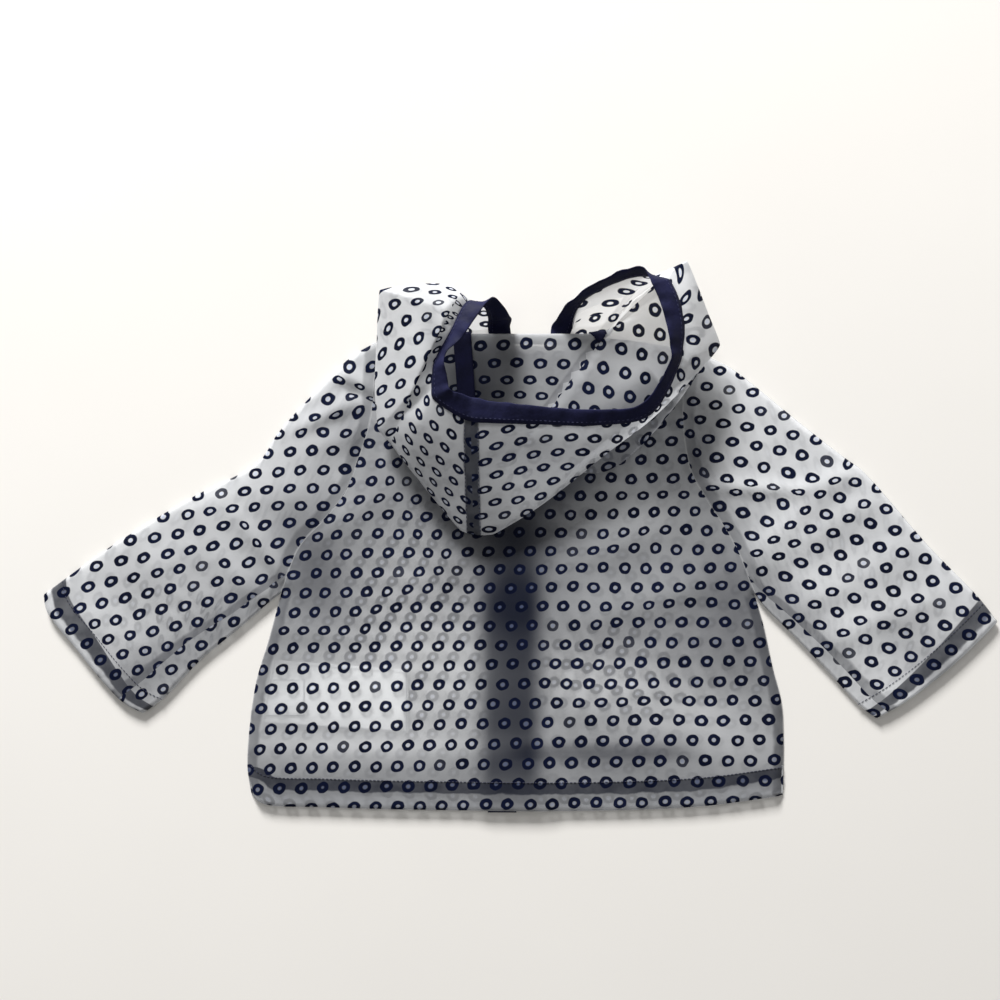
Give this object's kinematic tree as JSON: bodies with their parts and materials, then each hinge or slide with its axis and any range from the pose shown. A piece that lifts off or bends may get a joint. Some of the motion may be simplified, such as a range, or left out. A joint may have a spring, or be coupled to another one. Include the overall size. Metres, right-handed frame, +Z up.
{
  "type": "toddler raincoat",
  "caption": "Small see-through hooded raincoat laid face down, back up, its hood folded back open on the shoulders, with navy ring dots and navy binding.",
  "frame": {"origin": "middle of the coat's base, on the surface that it lies on", "axes": "+X across the coat towards the cuff at the right as it lies, +Y from the hem to the neck, +Z up off the surface"},
  "size_m": [0.7332, 0.418, 0.0579],
  "materials": {
    "film": "frosted, printed with small rings",
    "tape": "woven, matt",
    "label": "plain woven",
    "snap": "satin"
  },
  "bodies": {
    "root": {"back": "film", "back_hem": "film", "front_left": "film", "front_right": "film", "front_hem_left": "film", "front_hem_right": "film", "sleeve_left": "film", "sleeve_right": "film", "cuff_hem_left": "film", "cuff_hem_right": "film", "hood_left": "film", "hood_right": "film", "hood_binding": "tape", "hood_seam_tape": "tape", "neck_tape": "tape", "placket_over": "tape", "placket_under": "tape", "care_label": "label", "snap_1": "snap", "snap_2": "snap", "snap_3": "snap", "snap_4": "snap", "snap_5": "snap"}
  },
  "joints": []
}
